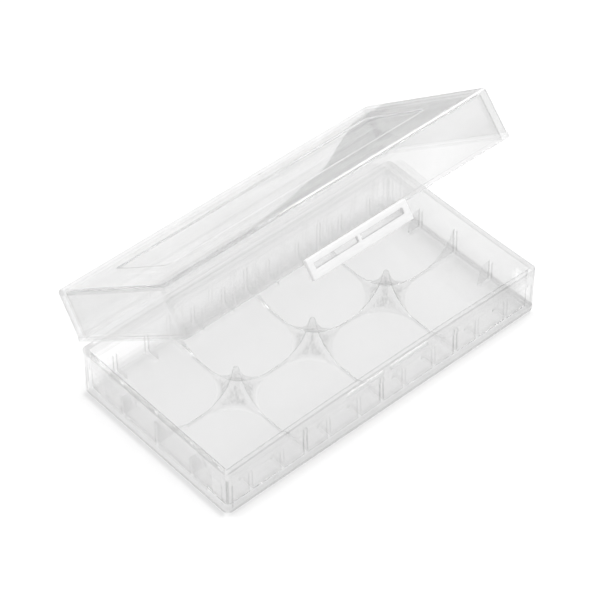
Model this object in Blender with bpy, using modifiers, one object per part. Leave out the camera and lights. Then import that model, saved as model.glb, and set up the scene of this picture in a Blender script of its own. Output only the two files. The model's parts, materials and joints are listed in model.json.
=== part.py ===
"""Clear snap-lid battery case, standing part open.

X runs along the case, +Y points to the hinge at the back, +Z is up.
The origin is the centre of the tray's underside. All lengths are in metres.
"""

import math

import bpy
import bmesh
import numpy as np
from mathutils import Matrix, Vector

# Outside of the case
CASE_LENGTH = 0.0760
CASE_WIDTH = 0.0403
TRAY_HEIGHT = 0.0108
LID_HEIGHT = 0.0101
WALL = 0.0011
FLOOR = 0.0009
CORNER_RADIUS = 0.0012
EDGE_RADIUS = 0.0005
FRONT_BOW = 0.0006          # the long front walls are drawn in at the rim
CLOSING_GAP = 0.0002
TOUCH_GAP = 0.0003
LID_OPEN_ANGLE = math.radians(38.5)

# Living hinge: a land behind each rim, and a thin web between the lands
HINGE_REACH = 0.0021        # from the back wall to the fold line
HINGE_RISE = 0.00035        # from the tray's rim up to the fold line
HINGE_SETBACK = 0.0007      # from a land's tip to the fold line
HINGE_END_INSET = 0.0030
LAND_THICKNESS = 0.0008
WEB_THICKNESS = 0.00035

# Dividing posts, ribs, fins and ridges inside the tray
POST_HEIGHT = 0.0072
POST_END_PLAY = 0.0015      # from a leg's tip to the lowest line of the cell beside it
POST_HALF_CREST = 0.00025    # from a grid line to where the arc of the cell beside it starts
LEG_HALF_WIDTH = 0.00026
RIB_HEIGHT = 0.0062
RIB_END_PLAY = 0.0025
RIB_THICKNESS = 0.0008
FIN_HEIGHT = 0.0047
FIN_FLAT = 0.0015
FIN_REACH = 0.0031
FIN_THICKNESS = 0.0008
FIN_SPACING = 0.0074
RIDGE_WIDTH = 0.0004
RIDGE_HEIGHT = 0.0003

# Catch beads on the tray, and the slotted tongue that snaps over them
BEAD_HEIGHT = 0.0009
BEAD_PROUD = 0.0007
BEAD_DROP = 0.0002          # from the rim down to the bead
BEAD_END_PLAY = 0.00045
BEAD_RISE_PLAY = 0.0002
TONGUE_WIDTH = 0.0234
TONGUE_THICKNESS = 0.0010
TONGUE_DROP = 0.0031        # below the lid's rim
TONGUE_END_BAR = 0.00135    # beside each slot's outer end
TONGUE_MIDDLE_BAR = 0.0007  # between the two slots

# Lid details
BAND_HEIGHT = 0.0009
BAND_PROUD = 0.00015
LID_DRAFT = 0.0003          # how far the lid's walls lean in at the top
LABEL_LENGTH = 0.0606
LABEL_WIDTH = 0.0198
LABEL_BACK = 0.0005         # the label field sits a little nearer the hinge
LABEL_DEPTH = 0.0002
LABEL_RADIUS = 0.0012

OVERRUN = 0.0005            # how far a cut or a foot runs past its face

# Shares and counts
CELLS_ALONG = 4
CELLS_ACROSS = 2
CORNER_STEPS = 4
EDGE_STEPS = 2
POST_RINGS = 9
ARC_STEPS = 5
BOW_STEPS = 10
WEB_STEPS = 10
SMOOTH_ANGLE = math.radians(30)

# Worked out from the sizes above
SAME_PLACE = OVERRUN / 1000    # points nearer than this are one point
HALF_LENGTH = CASE_LENGTH / 2
HALF_WIDTH = CASE_WIDTH / 2
CAVITY_LENGTH = CASE_LENGTH - 2 * WALL
CAVITY_WIDTH = CASE_WIDTH - 2 * WALL
CELL_PITCH = CAVITY_LENGTH / CELLS_ALONG
ROW_PITCH = CAVITY_WIDTH / CELLS_ACROSS
CELL_RADIUS = min(CELL_PITCH, ROW_PITCH) / 2    # posts and ribs are cut to a cell's arc
POST_REACH = CELL_RADIUS - POST_END_PLAY
RIB_REACH = CELL_RADIUS - RIB_END_PLAY
INNER_RADIUS = max(CORNER_RADIUS - WALL, WALL / 2)
LAND_LENGTH = CASE_LENGTH - 2 * HINGE_END_INSET
FOLD_Y = HALF_WIDTH + HINGE_REACH
FOLD_Z = TRAY_HEIGHT + HINGE_RISE
LID_RIM_Z = TRAY_HEIGHT + CLOSING_GAP
LID_TOP_Z = LID_RIM_Z + LID_HEIGHT
TONGUE_INNER_Y = -HALF_WIDTH + FRONT_BOW - TOUCH_GAP
TONGUE_OUTER_Y = TONGUE_INNER_Y - TONGUE_THICKNESS
TONGUE_TOP_Z = LID_RIM_Z + BAND_HEIGHT
TONGUE_AXIS_Z = LID_RIM_Z + BAND_HEIGHT / 2
SLOT_LENGTH = (TONGUE_WIDTH - 2 * TONGUE_END_BAR - TONGUE_MIDDLE_BAR) / 2
SLOT_X = (SLOT_LENGTH + TONGUE_MIDDLE_BAR) / 2
BEAD_LENGTH = SLOT_LENGTH - 2 * BEAD_END_PLAY
BEAD_Z = TRAY_HEIGHT - BEAD_DROP - BEAD_HEIGHT / 2
SLOT_HALF_HEIGHT = BEAD_HEIGHT / 2 + BEAD_RISE_PLAY
WEB_BEND_REACH = 2 * HINGE_SETBACK


def clear_scene():
    for item in list(bpy.data.objects):
        bpy.data.objects.remove(item, do_unlink=True)


def new_collection(name):
    collection = bpy.data.collections.new(name)
    bpy.context.scene.collection.children.link(collection)
    return collection


def material(name, colour, roughness):
    made = bpy.data.materials.new(name)
    made.use_nodes = True
    shader = made.node_tree.nodes["Principled BSDF"]
    shader.inputs["Base Color"].default_value = (*colour, 1.0)
    shader.inputs["Roughness"].default_value = roughness
    shader.inputs["Metallic"].default_value = 0.0
    shader.inputs["Transmission Weight"].default_value = 1.0
    shader.inputs["IOR"].default_value = 1.49
    return made


def object_from_bmesh(name, shape, collection):
    mesh = bpy.data.meshes.new(name)
    shape.to_mesh(mesh)
    shape.free()
    made = bpy.data.objects.new(name, mesh)
    collection.objects.link(made)
    return made


def rounded_block(name, size, centre, corner, lower_edge, upper_edge, collection):
    """A box with rounded upright edges, and optionally rounded lower or upper edges."""
    shape = bmesh.new()
    bmesh.ops.create_cube(shape, size=1.0)
    bmesh.ops.scale(shape, vec=size, verts=shape.verts)
    if corner > 0:
        upright = [e for e in shape.edges if abs(e.verts[0].co.z - e.verts[1].co.z) > size[2] / 2]
        bmesh.ops.bevel(shape, geom=upright, offset=corner, offset_type="OFFSET",
                        segments=CORNER_STEPS, profile=0.5, affect="EDGES")
    for radius, side in ((lower_edge, -1), (upper_edge, 1)):
        if radius > 0:
            level = side * size[2] / 2
            ring = [e for e in shape.edges
                    if all(abs(v.co.z - level) < SAME_PLACE for v in e.verts)]
            bmesh.ops.bevel(shape, geom=ring, offset=radius, offset_type="OFFSET",
                            segments=EDGE_STEPS, profile=0.5, affect="EDGES")
    bmesh.ops.translate(shape, vec=centre, verts=shape.verts)
    return object_from_bmesh(name, shape, collection)


def box_between(name, low, high, collection):
    size = [high[i] - low[i] for i in range(3)]
    centre = [(high[i] + low[i]) / 2 for i in range(3)]
    return rounded_block(name, size, centre, 0, 0, 0, collection)


def plate(name, outline, thickness, place, collection):
    """A flat outline in its own XY plane, given a thickness and set in place."""
    curve = bpy.data.curves.new(name, "CURVE")
    curve.dimensions = "2D"
    curve.fill_mode = "BOTH"
    curve.extrude = thickness / 2
    spline = curve.splines.new("POLY")
    spline.points.add(len(outline) - 1)
    for point, (x, y) in zip(spline.points, outline):
        point.co = (x, y, 0, 1)
    spline.use_cyclic_u = True
    source = bpy.data.objects.new(name + "_outline", curve)
    collection.objects.link(source)
    bpy.context.view_layer.update()
    mesh = bpy.data.meshes.new_from_object(source.evaluated_get(bpy.context.evaluated_depsgraph_get()))
    bpy.data.objects.remove(source, do_unlink=True)
    shape = bmesh.new()
    shape.from_mesh(mesh)
    bpy.data.meshes.remove(mesh)
    bmesh.ops.remove_doubles(shape, verts=shape.verts, dist=SAME_PLACE)
    bmesh.ops.transform(shape, matrix=place, verts=shape.verts)
    bmesh.ops.recalc_face_normals(shape, faces=shape.faces)
    return object_from_bmesh(name, shape, collection)


def combine(base, others, operation):
    """Joins or cuts the base with each of the others, and removes them."""
    for other in others:
        change = base.modifiers.new(operation.lower(), "BOOLEAN")
        change.operation = operation
        change.solver = "EXACT"
        change.object = other
        other.hide_render = True
        other.display_type = "WIRE"
    bpy.context.view_layer.update()
    done = base.evaluated_get(bpy.context.evaluated_depsgraph_get())
    mesh = bpy.data.meshes.new_from_object(done)
    base.modifiers.clear()
    base.data = mesh
    for other in others:
        bpy.data.objects.remove(other, do_unlink=True)
    return base


def standing_plate_place(wall_point, inward, floor_level):
    """The frame of a plate that stands on the floor and runs inward from a wall."""
    across = Vector((0, 0, 1)).cross(Vector(inward))
    frame = Matrix.Identity(4)
    frame.col[0][:3] = inward
    frame.col[1][:3] = (0, 0, 1)
    frame.col[2][:3] = -across
    frame.col[3][:3] = (wall_point[0], wall_point[1], floor_level)
    return frame


def cell_arc(reach, height, steps, start=0.0):
    """Reach and height of points on a cell's arc, from its foot up to its crest."""
    radius = CELL_RADIUS - start
    turns = np.linspace(math.asin(1 - (reach - start) / radius), math.acos(1 - height / radius), steps)
    return [(start + radius * (1 - math.sin(a)), radius * (1 - math.cos(a))) for a in turns]


def rib_outline():
    """Tall at the wall, then a concave crest that runs out along the floor."""
    crest = cell_arc(RIB_REACH, RIB_HEIGHT, ARC_STEPS)
    return [(-OVERRUN, -OVERRUN), (RIB_REACH, -OVERRUN), *crest, (-OVERRUN, RIB_HEIGHT)]


def fin_outline():
    """A flat top that ends in a quarter ellipse down to the floor."""
    turns = [math.pi / 2 * i / ARC_STEPS for i in range(ARC_STEPS + 1)]
    edge = [(FIN_FLAT + (FIN_REACH - FIN_FLAT) * math.cos(a),
             (FIN_HEIGHT + OVERRUN) * math.sin(a) - OVERRUN) for a in turns]
    return [(-OVERRUN, -OVERRUN), *edge, (-OVERRUN, FIN_HEIGHT)]


def star_post(name, x, collection):
    """A four-pointed post: each level is what four round dishes leave between them."""
    turns = np.linspace(0, math.pi / 2, ARC_STEPS + 1)
    shape = bmesh.new()
    rings = []
    levels = cell_arc(POST_REACH, POST_HEIGHT, POST_RINGS, POST_HALF_CREST)
    for reach, height in [(POST_REACH, -OVERRUN), *levels]:
        half = min(LEG_HALF_WIDTH, reach / 2)
        radius = reach - half
        arc = [(reach - radius * math.sin(a), reach - radius * math.cos(a)) for a in turns]
        ring = []
        for quarter in range(4):
            turn = Matrix.Rotation(quarter * math.pi / 2, 3, "Z")
            for px, py in arc:
                point = turn @ Vector((px, py, 0))
                ring.append(shape.verts.new((x + point.x, point.y, FLOOR + height)))
        rings.append(ring)
    for low, high in zip(rings, rings[1:]):
        for i in range(len(low)):
            j = (i + 1) % len(low)
            shape.faces.new((low[i], low[j], high[j], high[i]))
    shape.faces.new(rings[0])
    shape.faces.new(rings[-1])
    bmesh.ops.recalc_face_normals(shape, faces=shape.faces)
    return object_from_bmesh(name, shape, collection)


def grid_lines():
    """Where the cells' boundaries cross the case's length."""
    return [(i - CELLS_ALONG / 2) * CELL_PITCH for i in range(1, CELLS_ALONG)]


def tray_features(collection):
    """Everything that stands on the tray's floor or on its walls."""
    made = []
    wall_x, wall_y = CAVITY_LENGTH / 2, CAVITY_WIDTH / 2
    ridge_top = FLOOR + RIDGE_HEIGHT
    for i, x in enumerate(grid_lines()):
        made.append(star_post(f"post_{i}", x, collection))
        made.append(box_between(f"ridge_{i}", (x - RIDGE_WIDTH / 2, -wall_y - OVERRUN, FLOOR - OVERRUN),
                                (x + RIDGE_WIDTH / 2, wall_y + OVERRUN, ridge_top), collection))
        for side in (-1, 1):
            place = standing_plate_place((x, side * wall_y), (0, -side, 0), FLOOR)
            made.append(plate(f"rib_{i}_{side}", rib_outline(), RIB_THICKNESS, place, collection))
    made.append(box_between("ridge_long", (-wall_x - OVERRUN, -RIDGE_WIDTH / 2, FLOOR - OVERRUN),
                            (wall_x + OVERRUN, RIDGE_WIDTH / 2, ridge_top), collection))
    for side in (-1, 1):
        place = standing_plate_place((side * wall_x, 0), (-side, 0, 0), FLOOR)
        made.append(plate(f"end_rib_{side}", rib_outline(), RIB_THICKNESS, place, collection))
        for half in (-1, 1):
            place = standing_plate_place((side * wall_x, half * ROW_PITCH / 2), (-side, 0, 0), FLOOR)
            made.append(plate(f"end_fin_{side}_{half}", fin_outline(), FIN_THICKNESS, place, collection))
    for i in range(CELLS_ALONG):
        middle = (i + 0.5 - CELLS_ALONG / 2) * CELL_PITCH
        for side in (-1, 1):
            for half in (-1, 1):
                foot = (middle + half * FIN_SPACING / 2, side * wall_y)
                place = standing_plate_place(foot, (0, -side, 0), FLOOR)
                name = f"fin_{i}_{side}_{half}"
                made.append(plate(name, fin_outline(), FIN_THICKNESS, place, collection))
    return made


def bead_outline():
    """A low half-round bead on the outside of the front wall."""
    turns = [math.pi * i / (ARC_STEPS + 1) for i in range(ARC_STEPS + 2)]
    return [(-OVERRUN, -BEAD_HEIGHT / 2), *[(BEAD_PROUD * math.sin(a), -BEAD_HEIGHT / 2 * math.cos(a))
                                           for a in turns], (-OVERRUN, BEAD_HEIGHT / 2)]


def catch_beads(collection):
    made = []
    for side in (-1, 1):
        frame = Matrix.Identity(4)
        frame.col[0][:3] = (0, -1, 0)
        frame.col[1][:3] = (0, 0, 1)
        frame.col[2][:3] = (-1, 0, 0)
        frame.col[3][:3] = (side * SLOT_X, -HALF_WIDTH, BEAD_Z)
        made.append(plate(f"bead_{side}", bead_outline(), BEAD_LENGTH, frame, collection))
    return made


def bow_front(thing, rim_level, base_level):
    """Draws the front wall in, most at the middle of its rim."""
    shape = bmesh.new()
    shape.from_mesh(thing.data)
    for i in range(1, BOW_STEPS):
        x = HALF_LENGTH * (2 * i / BOW_STEPS - 1)
        geometry = shape.verts[:] + shape.edges[:] + shape.faces[:]
        bmesh.ops.bisect_plane(shape, geom=geometry, plane_co=(x, 0, 0), plane_no=(1, 0, 0),
                               dist=SAME_PLACE)
    depth = FIN_REACH + WALL
    for vert in shape.verts:
        along = 1 - (vert.co.x / HALF_LENGTH) ** 2
        height = (vert.co.z - base_level) / (rim_level - base_level)
        near = (-vert.co.y - (HALF_WIDTH - depth)) / (depth - WALL)
        share = max(along, 0) * min(max(height, 0), 1) * min(max(near, 0), 1)
        vert.co.y += FRONT_BOW * share
    shape.to_mesh(thing.data)
    shape.free()


def lean_in(thing, rim_level, top_level):
    """Gives upright walls the slope that lets a moulding leave its mould."""
    for vert in thing.data.vertices:
        share = (vert.co.z - rim_level) / (top_level - rim_level)
        vert.co.x *= 1 - share * LID_DRAFT / HALF_LENGTH
        vert.co.y *= 1 - share * LID_DRAFT / HALF_WIDTH


def smooth(thing):
    thing.data.shade_smooth()
    thing.data.set_sharp_from_angle(angle=SMOOTH_ANGLE)


def finish(thing, finish_material, joint_point):
    """Gives a piece its material, and sets its origin on its joint's line."""
    thing.data.materials.clear()
    thing.data.materials.append(finish_material)
    thing.data.transform(Matrix.Translation(-Vector(joint_point)))
    thing.location = joint_point
    smooth(thing)


def make_tray(parts, helpers):
    outer = rounded_block("tray", (CASE_LENGTH, CASE_WIDTH, TRAY_HEIGHT), (0, 0, TRAY_HEIGHT / 2),
                          CORNER_RADIUS, EDGE_RADIUS, 0, parts)
    cavity_height = TRAY_HEIGHT - FLOOR + OVERRUN
    cavity = rounded_block("tray_cavity", (CAVITY_LENGTH, CAVITY_WIDTH, cavity_height),
                           (0, 0, FLOOR + cavity_height / 2), INNER_RADIUS, 0, 0, helpers)
    combine(outer, [cavity], "DIFFERENCE")
    land = box_between("tray_land", (-LAND_LENGTH / 2, HALF_WIDTH - OVERRUN, TRAY_HEIGHT - LAND_THICKNESS),
                       (LAND_LENGTH / 2, FOLD_Y - HINGE_SETBACK, TRAY_HEIGHT), helpers)
    combine(outer, tray_features(helpers) + catch_beads(helpers) + [land], "UNION")
    bow_front(outer, TRAY_HEIGHT, 0)
    return outer


def make_lid(parts, helpers):
    """The lid is drawn closed on the tray, and swung open afterwards."""
    middle = LID_RIM_Z + LID_HEIGHT / 2
    outer = rounded_block("lid", (CASE_LENGTH, CASE_WIDTH, LID_HEIGHT), (0, 0, middle),
                          CORNER_RADIUS, 0, EDGE_RADIUS, parts)
    band_size = (CASE_LENGTH + 2 * BAND_PROUD, CASE_WIDTH + 2 * BAND_PROUD, BAND_HEIGHT)
    band = rounded_block("lid_band", band_size, (0, 0, LID_RIM_Z + BAND_HEIGHT / 2),
                         CORNER_RADIUS + BAND_PROUD, 0, 0, helpers)
    land = box_between("lid_land", (-LAND_LENGTH / 2, HALF_WIDTH - OVERRUN, LID_RIM_Z),
                       (LAND_LENGTH / 2, FOLD_Y - HINGE_SETBACK, LID_RIM_Z + LAND_THICKNESS), helpers)
    combine(outer, [band, land], "UNION")
    cavity_height = LID_HEIGHT - FLOOR + OVERRUN
    cavity = rounded_block("lid_cavity", (CAVITY_LENGTH, CAVITY_WIDTH, cavity_height),
                           (0, 0, LID_TOP_Z - FLOOR - cavity_height / 2), INNER_RADIUS, 0, 0, helpers)
    label = rounded_block("lid_label", (LABEL_LENGTH, LABEL_WIDTH, 2 * LABEL_DEPTH),
                          (0, LABEL_BACK, LID_TOP_Z), LABEL_RADIUS, 0, 0, helpers)
    notch = box_between("lid_notch", (-TONGUE_WIDTH / 2 - TOUCH_GAP, -HALF_WIDTH - BAND_PROUD - OVERRUN,
                                      LID_RIM_Z - OVERRUN),
                        (TONGUE_WIDTH / 2 + TOUCH_GAP, -HALF_WIDTH, TONGUE_TOP_Z + OVERRUN), helpers)
    combine(outer, [cavity, label, notch], "DIFFERENCE")
    bow_front(outer, LID_RIM_Z, LID_TOP_Z)
    lean_in(outer, LID_RIM_Z, LID_TOP_Z)
    return outer


def make_tongue(parts, helpers):
    """A flat tongue with two slots side by side, one for each bead."""
    low = (-TONGUE_WIDTH / 2, TONGUE_OUTER_Y, LID_RIM_Z - TONGUE_DROP)
    high = (TONGUE_WIDTH / 2, TONGUE_INNER_Y, TONGUE_TOP_Z)
    size = [high[i] - low[i] for i in range(3)]
    centre = [(high[i] + low[i]) / 2 for i in range(3)]
    tongue = rounded_block("latch_tongue", size, centre, TONGUE_THICKNESS / 4,
                           TONGUE_THICKNESS / 4, 0, parts)
    slots = []
    for side in (-1, 1):
        slot_low = (side * SLOT_X - SLOT_LENGTH / 2, low[1] - OVERRUN, BEAD_Z - SLOT_HALF_HEIGHT)
        slot_high = (side * SLOT_X + SLOT_LENGTH / 2, high[1] + OVERRUN, BEAD_Z + SLOT_HALF_HEIGHT)
        slots.append(box_between(f"slot_{side}", slot_low, slot_high, helpers))
    return combine(tongue, slots, "DIFFERENCE")


def make_web(parts):
    """A thin strip from one land's tip to the other's, folded round the hinge's line."""
    start = Vector((0, -HINGE_SETBACK + TOUCH_GAP, -HINGE_RISE - WEB_THICKNESS))
    end = Vector((0, start.y, CLOSING_GAP - HINGE_RISE + WEB_THICKNESS))
    end.rotate(Matrix.Rotation(-LID_OPEN_ANGLE, 3, "X"))
    bend = Vector((0, WEB_BEND_REACH, 0))
    bend.rotate(Matrix.Rotation(-LID_OPEN_ANGLE / 2, 3, "X"))
    shape = bmesh.new()
    rows = []
    for i in range(WEB_STEPS + 1):
        t = i / WEB_STEPS
        point = (1 - t) ** 2 * start + 2 * t * (1 - t) * bend + t ** 2 * end
        rows.append([shape.verts.new((side * LAND_LENGTH / 2, point.y, point.z)) for side in (-1, 1)])
    for (a, b), (c, d) in zip(rows, rows[1:]):
        shape.faces.new((a, b, d, c))
    web = object_from_bmesh("hinge_web", shape, parts)
    thicken = web.modifiers.new("thickness", "SOLIDIFY")
    thicken.thickness = WEB_THICKNESS
    thicken.offset = 0
    return web


def main():
    clear_scene()
    parts = new_collection("battery_case")
    helpers = new_collection("cutters_and_additions")
    clear_plastic = material("clear_polypropylene", (0.92, 0.93, 0.93), 0.08)
    frosted_plastic = material("frosted_polypropylene", (0.96, 0.96, 0.96), 0.35)

    fold = (0, FOLD_Y, FOLD_Z)
    tray = make_tray(parts, helpers)
    finish(tray, clear_plastic, (0, 0, 0))
    web = make_web(parts)
    web.data.materials.append(clear_plastic)
    web.location = fold
    lid = make_lid(parts, helpers)
    finish(lid, clear_plastic, fold)
    tongue = make_tongue(parts, helpers)
    tongue_axis = (0, (TONGUE_INNER_Y + TONGUE_OUTER_Y) / 2, TONGUE_AXIS_Z)
    finish(tongue, frosted_plastic, tongue_axis)

    bpy.context.view_layer.update()
    tongue.parent = lid
    tongue.matrix_parent_inverse = lid.matrix_world.inverted()
    lid.rotation_euler.x = -LID_OPEN_ANGLE


main()
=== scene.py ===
import json
import math

import bpy
import numpy as np
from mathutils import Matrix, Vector


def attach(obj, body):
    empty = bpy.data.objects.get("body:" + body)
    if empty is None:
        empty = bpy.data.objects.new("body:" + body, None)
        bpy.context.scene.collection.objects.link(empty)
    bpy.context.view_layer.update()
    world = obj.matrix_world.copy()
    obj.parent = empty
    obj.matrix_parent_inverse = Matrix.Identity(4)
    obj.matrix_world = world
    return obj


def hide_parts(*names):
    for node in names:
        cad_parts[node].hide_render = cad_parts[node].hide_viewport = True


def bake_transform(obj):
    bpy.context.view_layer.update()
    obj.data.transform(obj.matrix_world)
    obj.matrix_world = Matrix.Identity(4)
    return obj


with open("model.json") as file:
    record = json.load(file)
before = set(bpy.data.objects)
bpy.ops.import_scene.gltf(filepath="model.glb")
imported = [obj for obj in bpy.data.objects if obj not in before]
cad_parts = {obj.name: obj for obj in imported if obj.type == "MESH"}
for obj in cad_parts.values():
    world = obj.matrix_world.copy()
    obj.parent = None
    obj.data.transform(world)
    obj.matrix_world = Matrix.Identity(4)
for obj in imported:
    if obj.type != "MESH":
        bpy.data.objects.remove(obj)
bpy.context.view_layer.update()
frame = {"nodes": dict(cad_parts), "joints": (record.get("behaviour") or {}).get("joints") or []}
print("frame loaded:", ", ".join(sorted(frame["nodes"])))

mm = 0.001  # every length below is in millimetres until a mesh is written

lidJoint = next(joint for joint in frame["joints"] if joint["name"] == "lid_hinge")
fold = np.array(lidJoint["pos_m"]) / mm  # the line that the lid turns on
openTurn = math.radians(-lidJoint["range_deg"][0])  # how far open the lid stands at rest


def spacedLines(low, high, step, kept=()):
    # evenly spaced values from low to high, with the kept ones added and their near neighbours dropped
    even = np.linspace(low, high, max(int(round((high - low) / step)), 1) + 1)
    kept = np.unique(np.round(np.array([low, high, *kept]), 4))
    kept = kept[(kept >= low) & (kept <= high)]
    gap = np.abs(even[:, None] - kept[None, :]).min(axis=1)
    return np.sort(np.concatenate([kept, even[gap > step * 0.45]]))


def roundPlan(x, y, halfX, halfY, radius):
    # the four corner squares of a rectangle squeezed onto quarter discs:
    # distance = the larger local coordinate, angle = 45 degrees times the smaller over the larger
    u = (np.abs(x) - (halfX - radius)) / radius
    v = (np.abs(y) - (halfY - radius)) / radius
    corner = (u > 0) & (v > 0)
    distance = np.maximum(u, v)
    turn = math.pi / 4 * np.minimum(u, v) / np.maximum(distance, 1e-9)
    near, far = distance * np.sin(turn), distance * np.cos(turn)
    newX = np.sign(x) * (halfX - radius + radius * np.where(u >= v, far, near))
    newY = np.sign(y) * (halfY - radius + radius * np.where(u >= v, near, far))
    return np.where(corner, newX, x), np.where(corner, newY, y)


def quarterTurn(count):
    # equal steps of angle from 0 to 90 degrees
    return np.linspace(0, math.pi / 2, count)


def gridFaces(index, closed=False):
    # one quad for each cell of a grid of vertex numbers
    if closed:
        index = np.hstack([index, index[:, :1]])
    return np.stack([index[:-1, :-1], index[:-1, 1:], index[1:, 1:], index[1:, :-1]], -1).reshape(-1, 4)


def meshPiece(name, points, quads, others=(), sharpAngle=30):
    # points in millimetres; only those that a face uses are kept, in their order
    used, quads = np.unique(quads, return_inverse=True)
    quads = quads.reshape(-1, 4)
    place = np.zeros(len(points), int)
    place[used] = np.arange(len(used))
    mesh = bpy.data.meshes.new(name)
    mesh.from_pydata((points[used] * mm).tolist(), [], quads.tolist() + [place[face].tolist() for face in others])
    mesh.shade_smooth()
    mesh.set_sharp_from_angle(angle=math.radians(sharpAngle))
    piece = bpy.data.objects.new(name, mesh)
    bpy.context.scene.collection.objects.link(piece)
    return piece


def swungOpen(points):
    # turns points of the shut lid about the fold line by the opening angle
    y, z = points[:, 1] - fold[1], points[:, 2] - fold[2]
    c, s = math.cos(openTurn), math.sin(openTurn)
    return np.column_stack([points[:, 0], fold[1] + c * y + s * z, fold[2] - s * y + c * z])


case = {
    "halfLength": 38.0,
    "halfWidth": 20.15,
    "wall": 1.1,
    "floor": 0.9,
    "cornerRadius": 1.2,
    "innerCornerRadius": 0.55,
    "edgeRadius": 0.5,
    "rimRadius": 0.16,
    "filletRadius": 0.15,
    "trayRim": 10.8,
    "lidRim": 11.0,
    "lidTop": 21.1,
    "frontBow": 0.6,
    "endBow": 0.3,
    "bowDepth": 4.2,
    "landHalfLength": 35.0,
    "landReach": 1.4,
    "landThickness": 0.8,
    "step": 0.45,
    "draft": 0.04,  # a plate's side leans this much, so that it has a face of its own in the grid
    "cornerShares": (0, 0.15, 0.3, 0.45, 0.6, 0.75, 0.9, 1),
    "filletShares": (0.03, 0.12, 0.28, 0.5, 0.75, 1),
    "wallShares": (0.2, 0.4, 0.6, 0.8, 1),  # rows down a tray wall's inner face
    "trayLevels": (2, 4, 6, 8),
    "lidInnerLevels": (19, 17, 15, 13),
    "lidOuterLevels": (14, 16.5, 19),
    "hair": 0.01,  # keeps a grid line on its own side of a limit
}
caseX, caseY, wall = case["halfLength"], case["halfWidth"], case["wall"]
innerX, innerY = caseX - wall, caseY - wall
outerOverInner = caseX / innerX


def cornerLines(half):
    # extra lines that keep the rounded corners smooth
    return [side * (half - case["cornerRadius"] * share) for side in (-1, 1) for share in case["cornerShares"]]


def edgeLines(*pairs):
    # two lines for each upright face: its foot and its top
    return [value for middle, half in pairs
            for value in (middle - half - case["draft"], middle - half, middle + half, middle + half + case["draft"])]


def outline(xs, ys):
    # once round the inner rectangle, anticlockwise seen from above, starting at the front left corner
    front = np.column_stack([xs[:-1], np.full(len(xs) - 1, ys[0])])
    right = np.column_stack([np.full(len(ys) - 1, xs[-1]), ys[:-1]])
    back = np.column_stack([xs[:0:-1], np.full(len(xs) - 1, ys[-1])])
    left = np.column_stack([np.full(len(ys) - 1, xs[0]), ys[:0:-1]])
    return np.concatenate([front, right, back, left])


def outlineValues(grid):
    # the values at the border of a grid, in the outline's order
    return np.concatenate([grid[0, :-1], grid[:-1, -1], grid[-1, :0:-1], grid[:0:-1, 0]])


def sideOf(loop):
    # 0 front, 1 right, 2 back, 3 left for each point of the outline
    x, y = loop[:, 0] / innerX, loop[:, 1] / innerY
    return np.where(np.abs(y) >= np.abs(x), np.where(y < 0, 0, 2), np.where(x > 0, 1, 3))


def wallRows(loop, insets, levels):
    # the outline carried along the wall's profile: the rectangle shrinks by the inset at each level
    insets, levels = np.asarray(insets, float)[:, None], np.asarray(levels, float)
    halfX, halfY = caseX - insets, caseY - insets
    share = np.clip(insets / wall, 0, 1)
    radius = case["cornerRadius"] + (case["innerCornerRadius"] - case["cornerRadius"]) * share
    radius = np.where(insets > wall, np.maximum(case["innerCornerRadius"] - (insets - wall), 0.05),
                      np.where(insets < 0, case["cornerRadius"] - insets, radius))
    x, y = loop[:, 0] * halfX / innerX, loop[:, 1] * halfY / innerY
    x, y = roundPlan(x, y, halfX, halfY, radius)
    if levels.ndim == 1:
        levels = levels[:, None] + np.zeros_like(x)
    return np.stack([x, y, levels], -1)


def drawnIn(points, rim, base, endBow):
    # the front wall bows inward, most at the middle of its rim, and the right end wall a little:
    # bow times (1 - share along squared) times the height's share times the share of the depth
    x, y, z = points[..., 0], points[..., 1], points[..., 2]
    height = np.clip((z - base) / (rim - base), 0, 1)
    depth = case["bowDepth"]
    frontShare = np.clip((-y - (caseY - depth)) / (depth - wall), 0, 1)
    endShare = np.clip((x - (caseX - depth)) / (depth - wall), 0, 1)
    along = np.clip(1 - (x / caseX) ** 2, 0, 1)
    across = np.clip(1 - (y / caseY) ** 2, 0, 1)
    points[..., 1] = y + case["frontBow"] * along * height * frontShare
    points[..., 0] = x - endBow * across * height * endShare
    return points


def shellPiece(name, rows, top, finished=None):
    # one closed skin: a flat face over the first row, the wall rows, and a grid whose border is the last row
    rowIndex = np.arange(rows.shape[0] * rows.shape[1]).reshape(rows.shape[:2])
    topIndex = np.arange(top.shape[0] * top.shape[1]).reshape(top.shape[:2]) + rowIndex.size
    last = rowIndex[-1]
    across, along = top.shape[1] - 1, top.shape[0] - 1
    topIndex[0, :-1] = last[:across]
    topIndex[:-1, -1] = last[across:across + along]
    topIndex[-1, :0:-1] = last[across + along:2 * across + along]
    topIndex[:0:-1, 0] = last[2 * across + along:]
    points = np.concatenate([rows.reshape(-1, 3), top.reshape(-1, 3)])
    if finished:
        points = finished(points)
    quads = np.concatenate([gridFaces(rowIndex, closed=True), gridFaces(topIndex)])
    return meshPiece(name, points, quads, [rowIndex[0][::-1]])


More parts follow.
